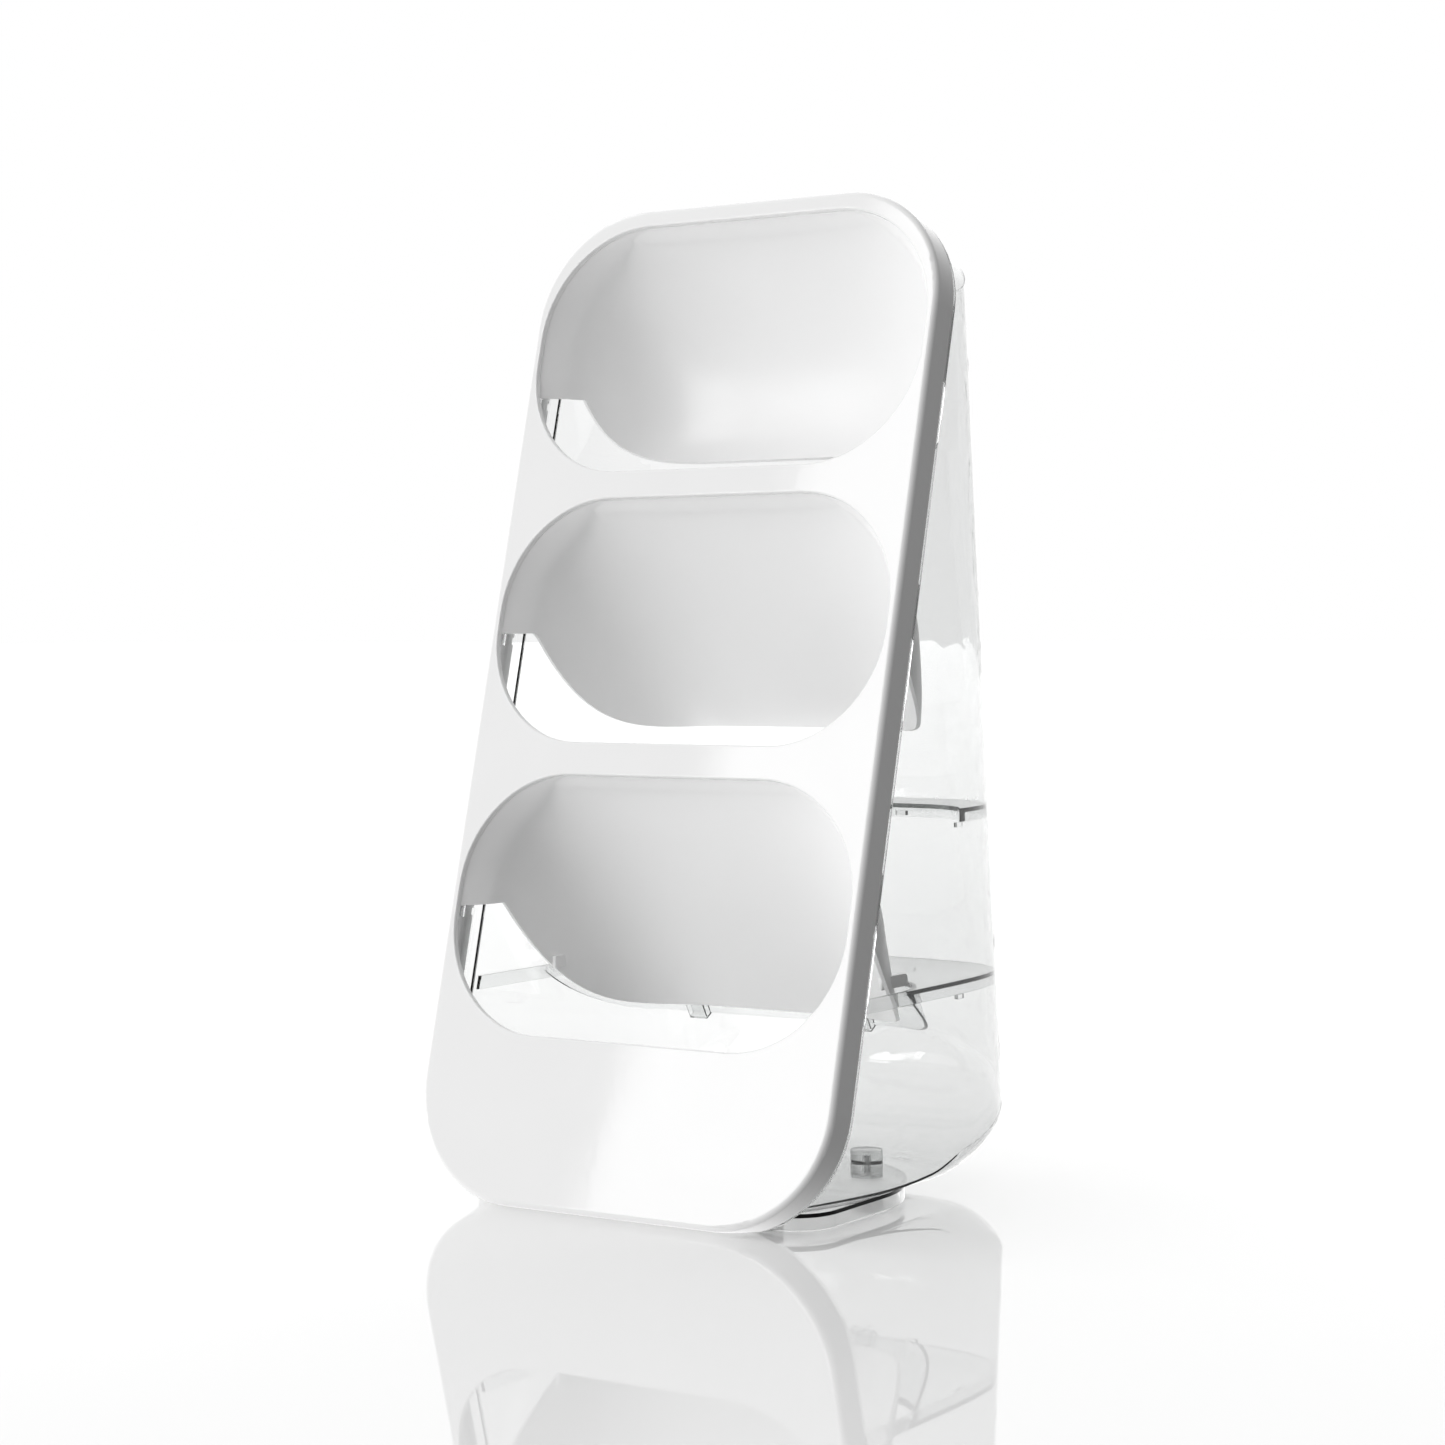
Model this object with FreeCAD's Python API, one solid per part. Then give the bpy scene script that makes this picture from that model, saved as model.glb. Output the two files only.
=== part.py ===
import FreeCAD, Part
import math
import os

from FreeCAD import Placement, Rotation
from FreeCAD import Vector as V

# A free-standing magazine rack: a white front panel with three rounded mouths snaps onto a clear
# wedge-shaped rear shell. Behind each mouth hangs a curved white scoop, and two clear shelves span
# the shell. Millimetres, +Z up, +X to the right, the mouths face -Y. The floor is Z = 0. Pieces are
# drawn with the bottom edge of the face at Y = 0, and the finished ones are then moved forward
# together, so that the origin is on the floor under the middle of the whole.

# Front panel
WIDTH = 320.0              # across the panel
TILT = 14.7                # the panel leans back from vertical, degrees
FACE_LIFT = 2.7            # floor to the bottom edge of the face
FACE_CORNER = 80.0         # outline corner radius
FACE_WALL = 3.0            # plate and rim thickness
RIM_DEPTH = 22.0           # how far the rim runs back from the face
EDGE_ROUND = 4.0           # rounding between face and rim
FLOOR_GAP = 1.0            # the rim and flange are cut level at this height

# Mouths, measured up the slope of the face
BOTTOM_BAND = 111.3        # plain band under the lower mouth
LOWER_MOUTH = 175.0
LOWER_STRIP = 22.3
MIDDLE_MOUTH = 169.0
UPPER_STRIP = 18.9
UPPER_MOUTH = 175.5
TOP_BAND = 12.1
SIDE_BAND = 6.75
MOUTH_CORNER = 78.0
LIP_DEPTH = 4.0            # the return lip round each mouth
LIP_WALL = 2.5
LIP_ROUND = 1.2

# Rear shell
BODY_INSET = 10.0          # shell side walls stand in from the panel's outline
BODY_DEPTH = 321.0         # rear wall to the face's bottom edge, at floor level
BODY_WALL = 3.0
REAR_LEAN = 5.0            # the rear wall leans forward, degrees
REAR_CORNER = 80.0         # upright rear corners, in plan
SIDE_ROUND = 16.0          # rounding under the side walls
HEEL_ROUND = 75.0          # rounding under the rear wall
HEEL_START = 170.0         # the rounding under the sides grows from here back
SIDE_HANDLE = 25.0         # plan of the rear corner: handle of its curve short of the rear wall
REAR_HANDLE = 5.0          # and handle short of the side wall
REAR_FLAT = 30.0           # the rear wall is straight this far either side of the middle
CORNER_TIGHTEN = 0.78      # handles move out by this share of an inset, to keep the wall even
FLANGE = 3.0               # thickness of the flange behind the panel's rim
TONGUE = 2.0               # wall of the tongue that enters the rim
ROOF_ROUND = 45.0          # rounding where the shell's roof meets its rear wall

# Scoops
SCOOP_WALL = 2.5
SCOOP_FLANGE = 2.0
THROAT_DEPTH = 20.5        # the scoop narrows from the mouth to the shell over this depth
THROAT_DROP = 5.0          # and its roof comes down by this much
THROAT_STEP = 1.2          # the funnel ends this far inside the scoop's own surface
CROWN_LEAD = 12.0          # the back curve runs straight this far forward of its crown
TAIL_LEAD = 40.0           # and this far past its free edge, where it is cut off
MOUTH_LEAD = 150.0         # the space under the back curve reaches this far forward
EDGE_SAG = 0.08            # bow of the cut side edge, as a share of its length
SCOOP_SIDE_GAP = 3.5       # scoop side to the shell's inner wall
SCOOP_OVERLAP = 2.6        # scoop flange past the mouth's edge
CROWN_ROUND = 78.0         # side rounding at the mouth
TAIL_ROUND = 58.0          # side rounding at the free edge
FOOT_LENGTH = 34.0
FOOT_HEIGHT = 8.0
FOOT_OVERHANG = 14.0       # foot past the lower scoop's cut side

# Shelves
LOWER_SHELF = 142.0        # height of the top face
UPPER_SHELF = 256.0
SHELF_PLATE = 3.0
SHELF_EDGE = 9.0           # depth of the bar round a shelf
SHELF_BAR = 2.5            # thickness of that bar
UPPER_SHELF_FRONT = 235.0  # front edge of the upper shelf, back from the face's bottom edge
UPPER_SHELF_CURVE = 55.0   # its front corners
SKIRT_WALL = 2.0           # lower shelf's skirt behind the lower scoop
SKIRT_SHOW = 6.0           # skirt below the scoop's free edge
PEG = 3.0                  # shelf pegs moulded in the shell
PEG_LENGTH = 8.0
REAR_PEG_X = 50.0
SIDE_PEG_Y = 203.0
CLIP_X = 66.0
CLIP_LENGTH = 14.0
CLIP_WALL = 1.2
CLIP_GRIP = 3.0            # clip above the scoop's free edge

# Plinth, screws and pads
PLINTH_HEIGHT = 11.0
PLINTH_INSET = 12.5        # in from the shell's side walls
PLINTH_FRONT = 30.0
PLINTH_REAR = 216.0
PLINTH_WALL = 3.0
PLINTH_CORNER = 30.0       # front corners
PLINTH_HEEL = 95.0         # rear corners
BOSS_X = 76.0
BOSS_FRONT_Y = 75.0
BOSS_REAR_Y = 199.0
BOSS_DIAMETER = 22.0
BOSS_HEIGHT = 9.0          # shell boss above the shell's floor
BOSS_CAP = 3.0             # closed top of the boss, over the screw
SCREW_DIAMETER = 4.0
SCREW_HEAD = 7.6
SCREW_HEAD_HEIGHT = 2.4
PAD_DIAMETER = 18.0
PAD_THICKNESS = 2.5
PAD_SHOW = 1.0             # pad below the plinth

# Catches between panel and shell
CATCH_LENGTH = 10.0
CATCH_DEPTH = 2.0
CATCH_PROUD = 1.1
CATCH_BACK = 3.5           # middle of the catch behind the tongue's front edge
NOTCH_LENGTH = 5.0
NOTCH_DEPTH = 1.6

CLEARANCE = 0.3
FIT = 0.2                  # parts of the same assembly that seat on each other

# Values worked out from those above
SIN = math.sin(math.radians(TILT))
COS = math.cos(math.radians(TILT))
LEAN = math.tan(math.radians(REAR_LEAN))
HALF = WIDTH / 2
FACE_LENGTH = (BOTTOM_BAND + LOWER_MOUTH + LOWER_STRIP + MIDDLE_MOUTH + UPPER_STRIP + UPPER_MOUTH
               + TOP_BAND)
MOUTH_HALF = HALF - SIDE_BAND
BODY_HALF = HALF - BODY_INSET
SCOOP_HALF = BODY_HALF - BODY_WALL - SCOOP_SIDE_GAP
SCOOP_FRONT = LIP_DEPTH + FIT                      # depth of the scoop flanges' front face
TONGUE_FRONT = SCOOP_FRONT + SCOOP_FLANGE + FIT
FLANGE_FRONT = RIM_DEPTH + FIT
FLANGE_BACK = FLANGE_FRONT + FLANGE
BODY_FLOOR = FLOOR_GAP + PLINTH_HEIGHT             # underside of the shell
SCREW_TOP = BODY_FLOOR + BODY_WALL + BOSS_HEIGHT - BOSS_CAP
FAR = 900.0

MIDDLE_BOTTOM = BOTTOM_BAND + LOWER_MOUTH + LOWER_STRIP
UPPER_BOTTOM = MIDDLE_BOTTOM + MIDDLE_MOUTH + UPPER_STRIP

# Each scoop: its mouth (bottom, height), how far its ears sit under the mouth's centre and reach
# back, where its free edge ends, and the two handles of its back curve.
SCOOPS = {
    "lower": dict(bottom=BOTTOM_BAND, height=LOWER_MOUTH, ear_drop=5.0, ear_reach=37.0,
                  reach=178.0, rise=1.7, crown=(27.0, -11.0), tail=(-22.0, 38.0)),
    "middle": dict(bottom=MIDDLE_BOTTOM, height=MIDDLE_MOUTH, ear_drop=10.0, ear_reach=29.0,
                   reach=149.0, rise=5.9, crown=(24.0, -9.0), tail=(4.0, 46.0)),
    "upper": dict(bottom=UPPER_BOTTOM, height=UPPER_MOUTH, ear_drop=32.0, ear_reach=43.0,
                  reach=102.0, rise=10.0, crown=(24.0, -9.0), tail=(42.0, 50.0)),
}


def slope_point(s, d):
    """World (y, z) of a point s up the face and d behind it."""
    return s * SIN + d * COS, FACE_LIFT + s * COS - d * SIN


def face_y(z):
    """Y of the face at height z."""
    return (z - FACE_LIFT) * SIN / COS


def to_world(shape):
    """Moves a shape drawn flat (x, up the slope, -depth) onto the leaning panel."""
    moved = shape.copy()
    moved.Placement = Placement(V(0, 0, FACE_LIFT), Rotation(V(1, 0, 0), 90 - TILT))
    return moved


def rounded_wire(half, low, high, radius, z=0.0):
    """Closed outline |x| <= half, low <= y <= high, with round corners."""
    radius = min(radius, half - 0.5, (high - low) / 2 - 0.5)
    flat = radius * (1 - math.sqrt(0.5))
    corners = [(half, low, -1, 1), (half, high, -1, -1), (-half, high, 1, -1), (-half, low, 1, 1)]
    arcs = []
    for i, (x, y, sx, sy) in enumerate(corners):
        along_x = V(x + sx * radius, y, z)
        along_y = V(x, y + sy * radius, z)
        middle = V(x + sx * flat, y + sy * flat, z)
        ends = (along_x, along_y) if i % 2 == 0 else (along_y, along_x)
        arcs.append((ends[0], middle, ends[1]))
    edges = []
    for i, (start, middle, end) in enumerate(arcs):
        edges.append(Part.Arc(start, middle, end).toShape())
        edges.append(Part.makeLine(end, arcs[(i + 1) % 4][0]))
    return Part.Wire(edges)


def slab(half, low, high, radius, front, back):
    """Rounded plate in the flat panel frame, from depth front to depth back."""
    face = Part.Face(rounded_wire(half, low, high, radius, -back))
    return face.extrude(V(0, 0, back - front))


def box(x0, x1, y0, y1, z0, z1):
    return Part.makeBox(x1 - x0, y1 - y0, z1 - z0, V(x0, y0, z0))


def prism(points, half):
    """Side-view outline (y, z) extruded to |x| <= half."""
    wire = Part.makePolygon([V(-half, y, z) for y, z in points + points[:1]])
    return Part.Face(wire).extrude(V(2 * half, 0, 0))


def behind(depth):
    """All space deeper than a depth behind the face."""
    return to_world(box(-FAR, FAR, -FAR, 2 * FAR, -FAR, -depth))


def above_floor_gap(shape):
    return shape.common(box(-FAR, FAR, -FAR, FAR, FLOOR_GAP, 2 * FAR))


def level(z0, z1):
    return box(-FAR, FAR, -FAR, FAR, z0, z1)


def mirrored(shape):
    return shape.mirror(V(0, 0, 0), V(1, 0, 0))


def catch_positions():
    """Slope positions of the catches on each side: level with the scoops' ears."""
    return [scoop["bottom"] + scoop["height"] / 2 - scoop["ear_drop"] for scoop in SCOOPS.values()]


# Front panel

def mouth_slab(scoop, grow, front, back):
    low = scoop["bottom"] - grow
    high = scoop["bottom"] + scoop["height"] + grow
    return slab(MOUTH_HALF + grow, low, high, MOUTH_CORNER + grow, front, back)


def edges_at_depth(shape, depth):
    found = []
    for edge in shape.Edges:
        bounds = edge.BoundBox
        if abs(bounds.ZMin + depth) < 1e-4 and abs(bounds.ZMax + depth) < 1e-4:
            found.append(edge)
    return found


def front_panel():
    panel = slab(HALF, 0, FACE_LENGTH, FACE_CORNER, 0, RIM_DEPTH)
    panel = panel.makeFillet(EDGE_ROUND, edges_at_depth(panel, 0))
    hollow = slab(HALF - FACE_WALL, FACE_WALL, FACE_LENGTH - FACE_WALL, FACE_CORNER - FACE_WALL,
                  FACE_WALL, RIM_DEPTH + 1)
    hollow = hollow.makeFillet(EDGE_ROUND - FACE_WALL + 0.5, edges_at_depth(hollow, FACE_WALL))
    panel = panel.cut(hollow)
    lips = [mouth_slab(scoop, LIP_WALL, FACE_WALL / 2, LIP_DEPTH) for scoop in SCOOPS.values()]
    panel = panel.multiFuse(lips)
    openings = []
    for scoop in SCOOPS.values():
        opening = mouth_slab(scoop, 0, -1, LIP_DEPTH + 1)
        openings.append(opening)
    panel = panel.cut(Part.makeCompound(openings))
    inner = [e for e in edges_at_depth(panel, 0) if abs(e.BoundBox.XMax) < MOUTH_HALF + 0.01
             and abs(e.BoundBox.XMin) < MOUTH_HALF + 0.01
             and BOTTOM_BAND - 0.01 < e.BoundBox.YMin
             and e.BoundBox.YMax < FACE_LENGTH - TOP_BAND + 0.01]
    panel = panel.makeFillet(LIP_ROUND, inner)
    bumps = []
    notches = []
    for s in catch_positions():
        for side in (-1, 1):
            wall = side * (HALF - FACE_WALL)
            middle = TONGUE_FRONT + CATCH_BACK
            x0, x1 = sorted((wall + side * 0.5, wall - side * CATCH_PROUD))
            bumps.append(box(x0, x1, s - CATCH_LENGTH / 2, s + CATCH_LENGTH / 2,
                             -middle - CATCH_DEPTH / 2, -middle + CATCH_DEPTH / 2))
            x0, x1 = sorted((side * (HALF + 1), side * (HALF - FACE_WALL - 0.1)))
            notches.append(box(x0, x1, s - NOTCH_LENGTH / 2, s + NOTCH_LENGTH / 2,
                               -RIM_DEPTH - 1, -RIM_DEPTH + NOTCH_DEPTH))
    panel = panel.multiFuse(bumps).cut(Part.makeCompound(notches))
    return above_floor_gap(to_world(panel))


# Rear shell

def side_and_corner(half, rear, inset, z):
    """One smooth edge back along the shell's side from HEEL_START and round its rear corner."""
    handle = CORNER_TIGHTEN * inset
    curve = Part.BezierCurve()
    curve.setPoles([V(half, HEEL_START, z), V(half, rear - SIDE_HANDLE + handle, z),
                    V(half - REAR_HANDLE + handle, rear, z), V(REAR_FLAT, rear, z)])
    return curve.toShape()


def tub(inset, front):
    """The shell's wedge, shrunk by inset on every side and open to the front at a depth."""
    half = BODY_HALF - inset
    low = BODY_FLOOR + inset
    rear = BODY_DEPTH - inset / math.cos(math.radians(REAR_LEAN)) - low * LEAN
    start = -FAR / 9
    arc = side_and_corner(half, rear, inset, low)
    edges = [Part.makeLine(V(0, start, low), V(half, start, low)),
             Part.makeLine(V(half, start, low), V(half, HEEL_START, low)),
             arc,
             Part.makeLine(V(REAR_FLAT, rear, low), V(0, rear, low)),
             Part.makeLine(V(0, rear, low), V(0, start, low))]
    rise = FACE_LENGTH
    right = Part.Face(Part.Wire(edges)).extrude(V(0, -rise * LEAN, rise))
    bottom_arc = [e for e in right.Edges
                  if abs(e.BoundBox.ZMax - low) < 1e-3 and abs(e.Length - arc.Length) < 1e-2]
    right = right.makeFillet(SIDE_ROUND - inset, HEEL_ROUND - inset, bottom_arc)
    edge = BODY_INSET + inset
    outline = slab(half, edge, FACE_LENGTH - edge, FACE_CORNER - edge, front, FAR / 2)
    right = right.common(to_world(outline)).common(roof(inset))
    return right.fuse(mirrored(right)).removeSplitter()


def roof(inset):
    """Side view of the shell's roof and rear wall, with a round corner, across the whole width."""
    lean = math.radians(REAR_LEAN)
    start = V(-FAR, *slope_point(FACE_LENGTH - BODY_INSET - inset, -FAR / 9))
    back = V(0, COS, -SIN)
    down = V(0, math.sin(lean), -math.cos(lean))
    foot = V(-FAR, BODY_DEPTH - inset / math.cos(lean), 0)
    gap = foot - start
    run = (gap.y * down.z - gap.z * down.y) / (back.y * down.z - back.z * down.y)
    peak = start + back * run
    radius = ROOF_ROUND - inset
    turn = math.acos(back.dot(down))
    setback = radius * math.tan(turn / 2)
    centre = peak + (down - back).normalize() * (radius / math.cos(turn / 2))
    first = peak - back * setback
    last = peak + down * setback
    middle = centre + (peak - centre).normalize() * radius
    low_rear = foot + down * HEEL_ROUND
    low_front = V(-FAR, -FAR, low_rear.z)
    high_front = V(-FAR, -FAR, start.z)
    edges = [Part.makeLine(start, first), Part.Arc(first, middle, last).toShape(),
             Part.makeLine(last, low_rear), Part.makeLine(low_rear, low_front),
             Part.makeLine(low_front, high_front), Part.makeLine(high_front, start)]
    return Part.Face(Part.Wire(edges)).extrude(V(2 * FAR, 0, 0))


def flange_ring(grow, front, back):
    """Solid plate that follows the panel's outline, grown outward from it."""
    return slab(HALF + grow, -grow, FACE_LENGTH + grow, FACE_CORNER + grow, front, back)


def shelf_pegs(top):
    """Four pegs under a shelf: one on each side wall and two on the rear wall."""
    high = top - SHELF_EDGE - FIT
    low = high - PEG
    wall = BODY_HALF - BODY_WALL
    rear = BODY_DEPTH - low * LEAN - BODY_WALL
    pegs = []
    for side in (-1, 1):
        x0, x1 = sorted((side * (wall - PEG), side * (wall + 1)))
        y = min(SIDE_PEG_Y, rear - REAR_CORNER - PEG_LENGTH / 2)
        pegs.append(box(x0, x1, y - PEG_LENGTH / 2, y + PEG_LENGTH / 2, low, high))
        x = side * REAR_PEG_X
        pegs.append(box(x - PEG_LENGTH / 2, x + PEG_LENGTH / 2, rear - PEG - 1, rear + 1, low, high))
    return pegs


def boss_centres():
    return [(side * BOSS_X, y) for side in (-1, 1) for y in (BOSS_FRONT_Y, BOSS_REAR_Y)]


def rear_shell():
    body = tub(0, FLANGE_FRONT)
    flange = to_world(flange_ring(-FIT, FLANGE_FRONT, FLANGE_BACK))
    gap = -FACE_WALL - CLEARANCE
    tongue = to_world(flange_ring(gap, TONGUE_FRONT, FLANGE_BACK))
    throat = to_world(flange_ring(gap - TONGUE, TONGUE_FRONT - 1, FLANGE_FRONT))
    body = body.multiFuse([flange, tongue]).cut(throat).cut(tub(BODY_WALL, -FAR / 9))
    body = above_floor_gap(body)
    bosses = [Part.makeCylinder(BOSS_DIAMETER / 2, BOSS_HEIGHT + 1, V(x, y, BODY_FLOOR + BODY_WALL - 1))
              for x, y in boss_centres()]
    body = body.multiFuse(bosses + shelf_pegs(LOWER_SHELF) + shelf_pegs(UPPER_SHELF))
    cuts = [Part.makeCylinder(SCREW_DIAMETER / 2 + 0.1, SCREW_TOP - BODY_FLOOR + 1,
                              V(x, y, BODY_FLOOR - 1)) for x, y in boss_centres()]
    for s in catch_positions():
        for side in (-1, 1):
            middle = TONGUE_FRONT + CATCH_BACK
            x0, x1 = sorted((side * (HALF - FACE_WALL + 0.1), side * (HALF - FACE_WALL - TONGUE - 1)))
            room = CLEARANCE * 2
            window = box(x0, x1, s - CATCH_LENGTH / 2 - room, s + CATCH_LENGTH / 2 + room,
                         -middle - CATCH_DEPTH / 2 - room, -middle + CATCH_DEPTH / 2 + room)
            cuts.append(to_world(window))
    return body.cut(Part.makeCompound(cuts))


# Scoops

def scoop_points(scoop):
    """Ends and handles (y, z) of the inner back curve."""
    top = scoop["bottom"] + scoop["height"] - THROAT_DROP
    crown = slope_point(top, SCOOP_FRONT + THROAT_DEPTH - 1.0)
    z = FACE_LIFT + scoop["bottom"] * COS + scoop["rise"]
    tail = (face_y(z) + scoop["reach"], z)
    first = (crown[0] + scoop["crown"][0], crown[1] + scoop["crown"][1])
    second = (tail[0] + scoop["tail"][0], tail[1] + scoop["tail"][1])
    return crown, first, second, tail


def unit(start, end):
    length = math.dist(start, end)
    return (end[0] - start[0]) / length, (end[1] - start[1]) / length


def scoop_fill(scoop, grow):
    """The whole space under a scoop, its back curve and sides moved outward by grow."""
    crown, first, second, tail = scoop_points(scoop)
    out = unit(crown, first)
    down = unit(second, tail)

    def moved(point, along, shift=0.0):
        return V(0, point[0] - along[1] * grow + along[0] * shift,
                 point[1] + along[0] * grow + along[1] * shift)

    start = moved(crown, out, -CROWN_LEAD)
    knots = [moved(crown, out), moved(first, out), moved(second, down), moved(tail, down)]
    end = moved(tail, down, TAIL_LEAD)
    curve = Part.BezierCurve()
    curve.setPoles(knots)
    front_low = V(0, start.y - MOUTH_LEAD, end.z)
    front_high = V(0, start.y - MOUTH_LEAD, start.z)
    edges = [Part.makeLine(start, knots[0]), curve.toShape(), Part.makeLine(knots[3], end),
             Part.makeLine(end, front_low), Part.makeLine(front_low, front_high),
             Part.makeLine(front_high, start)]
    half = SCOOP_HALF - SCOOP_WALL + grow
    fill = Part.Face(Part.Wire(edges)).extrude(V(half, 0, 0))
    side_curve = [e for e in fill.Edges if abs(e.BoundBox.XMin - half) < 1e-3
                  and abs(e.Length - curve.length()) < 1e-3]
    fill = fill.makeFillet(CROWN_ROUND + grow, TAIL_ROUND + grow, side_curve[:1])
    return fill.fuse(mirrored(fill)).removeSplitter()


def ear_point(scoop):
    z = FACE_LIFT + (scoop["bottom"] + scoop["height"] / 2 - scoop["ear_drop"]) * COS
    return face_y(z) + scoop["ear_reach"], z


def scoop_cutter(scoop, drop=0.0):
    """Everything below the scoop's free edge, lowered by drop."""
    ear_y, ear_z = ear_point(scoop)
    tail_y, tail_z = scoop_points(scoop)[3]
    sag = EDGE_SAG * math.dist((ear_y, ear_z), (tail_y, tail_z))
    along = unit((ear_y, ear_z), (tail_y, tail_z))
    ear = V(-FAR, ear_y, ear_z - drop)
    tail = V(-FAR, tail_y, tail_z - drop)
    middle = (ear + tail) * 0.5 + V(0, along[1], -along[0]) * sag
    front = V(-FAR, -FAR, ear.z)
    rear = V(-FAR, FAR, tail.z)
    deep = V(-FAR, FAR, -FAR)
    corner = V(-FAR, -FAR, -FAR)
    edges = [Part.makeLine(front, ear), Part.Arc(ear, middle, tail).toShape(),
             Part.makeLine(tail, rear), Part.makeLine(rear, deep), Part.makeLine(deep, corner),
             Part.makeLine(corner, front)]
    return Part.Face(Part.Wire(edges)).extrude(V(2 * FAR, 0, 0))


def throat(scoop, grow):
    """Funnel from the mouth's outline down to the scoop's own width."""
    low = scoop["bottom"] - grow
    high = scoop["bottom"] + scoop["height"] + grow
    back = SCOOP_FRONT + THROAT_DEPTH
    mouth = rounded_wire(MOUTH_HALF + grow, low, high, MOUTH_CORNER + grow, -SCOOP_FRONT)
    inside = rounded_wire(SCOOP_HALF - SCOOP_WALL - THROAT_STEP + grow, low,
                          high - THROAT_DROP - THROAT_STEP, MOUTH_CORNER + grow, -back)
    return to_world(Part.makeLoft([mouth, inside], True, True))


def scoop(name):
    data = SCOOPS[name]
    outer = scoop_fill(data, SCOOP_WALL).common(behind(SCOOP_FRONT))
    rim = to_world(mouth_slab(data, SCOOP_OVERLAP, SCOOP_FRONT, SCOOP_FRONT + SCOOP_FLANGE))
    funnel = throat(data, SCOOP_WALL)
    piece = outer.multiFuse([rim, funnel])
    for hollow in (throat(data, 0), scoop_fill(data, 0), scoop_cutter(data)):
        piece = piece.cut(hollow)
    if name == "lower":
        ear_y, ear_z = ear_point(data)
        foot_low = LOWER_SHELF + FIT
        rear = (ear_y + scoop_points(data)[3][0]) / 2 + FOOT_OVERHANG
        for side in (-1, 1):
            x0, x1 = sorted((side * SCOOP_HALF, side * (SCOOP_HALF - SCOOP_WALL)))
            foot = box(x0, x1, rear - FOOT_LENGTH, rear, foot_low, foot_low + FOOT_HEIGHT)
            tip = [e for e in foot.Edges if abs(e.BoundBox.YMin - rear) < 1e-3
                   and e.BoundBox.XLength > 1e-3]
            piece = piece.fuse(foot.makeFillet(FOOT_HEIGHT / 2 - 0.2, tip))
    return piece.removeSplitter()


# Shelves

def shelf(top, keep_out, extra=None):
    """A clear plate with a bar round its edge, cut back where keep_out stands."""
    room = BODY_WALL + CLEARANCE
    plan = tub(room, FLANGE_BACK + 1)
    core = tub(room + SHELF_BAR, FLANGE_BACK + 1)
    plate = plan.common(level(top - SHELF_PLATE, top))
    bar = plan.cut(core).common(level(top - SHELF_EDGE, top))
    piece = plate.fuse(bar)
    if extra:
        piece = piece.fuse(extra)
    return piece.cut(keep_out).removeSplitter()


def lower_shelf():
    data = SCOOPS["lower"]
    keep_out = scoop_fill(data, SCOOP_WALL + CLEARANCE)
    tail_z = scoop_points(data)[3][1]
    skirt = scoop_fill(data, SCOOP_WALL + CLEARANCE + SKIRT_WALL)
    skirt = skirt.common(level(tail_z - SKIRT_SHOW, LOWER_SHELF))
    skirt = skirt.cut(scoop_cutter(data, SKIRT_SHOW))
    skirt = skirt.common(tub(BODY_WALL + CLEARANCE, FLANGE_BACK + 1))
    return shelf(LOWER_SHELF, keep_out, skirt)


def upper_shelf():
    half = BODY_HALF + 1
    front_wire = rounded_wire(half, -FAR / 2, UPPER_SHELF_FRONT, UPPER_SHELF_CURVE, 0)
    lip_wire = rounded_wire(half + SHELF_BAR, -FAR / 2, UPPER_SHELF_FRONT + SHELF_BAR,
                            UPPER_SHELF_CURVE + SHELF_BAR, 0)
    tall = V(0, 0, FAR)
    keep_out = Part.Face(front_wire).extrude(tall)
    lip = Part.Face(lip_wire).extrude(tall).common(level(UPPER_SHELF - SHELF_EDGE, UPPER_SHELF))
    lip = lip.common(tub(BODY_WALL + CLEARANCE, FLANGE_BACK + 1))
    return shelf(UPPER_SHELF, keep_out, lip)


def shelf_clips():
    """Two clips that pinch the skirt and the lower scoop's free edge together."""
    data = SCOOPS["lower"]
    _, _, handle, tail = scoop_points(data)
    down = unit(handle, tail)
    stack = SCOOP_WALL + CLEARANCE + SKIRT_WALL
    reach = (SKIRT_SHOW + stack * abs(down[0])) / abs(down[1]) + FIT

    def point(along, out):
        return (tail[0] + along * down[0] - out * down[1], tail[1] + along * down[1] + out * down[0])

    outer = [point(-CLIP_GRIP, -FIT - CLIP_WALL), point(reach + CLIP_WALL, -FIT - CLIP_WALL),
             point(reach + CLIP_WALL, stack + FIT + CLIP_WALL),
             point(-CLIP_GRIP, stack + FIT + CLIP_WALL)]
    inner = [point(-CLIP_GRIP - 1, -FIT), point(reach, -FIT), point(reach, stack + FIT),
             point(-CLIP_GRIP - 1, stack + FIT)]
    clip = prism(outer, CLIP_LENGTH / 2).cut(prism(inner, CLIP_LENGTH))
    clips = []
    for side in (-1, 1):
        moved = clip.copy()
        moved.translate(V(side * CLIP_X, 0, 0))
        clips.append(moved)
    return Part.makeCompound(clips)


# Plinth, screws and pads

def plan_block(inset, z0, z1):
    half = BODY_HALF - PLINTH_INSET - inset
    front = PLINTH_FRONT + inset
    rear = PLINTH_REAR - inset
    back_part = rounded_wire(half, front - FAR, rear, PLINTH_HEEL - inset, z0)
    front_part = rounded_wire(half, front, rear + FAR, PLINTH_CORNER - inset, z0)
    tall = V(0, 0, z1 - z0)
    return Part.Face(back_part).extrude(tall).common(Part.Face(front_part).extrude(tall))


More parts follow.
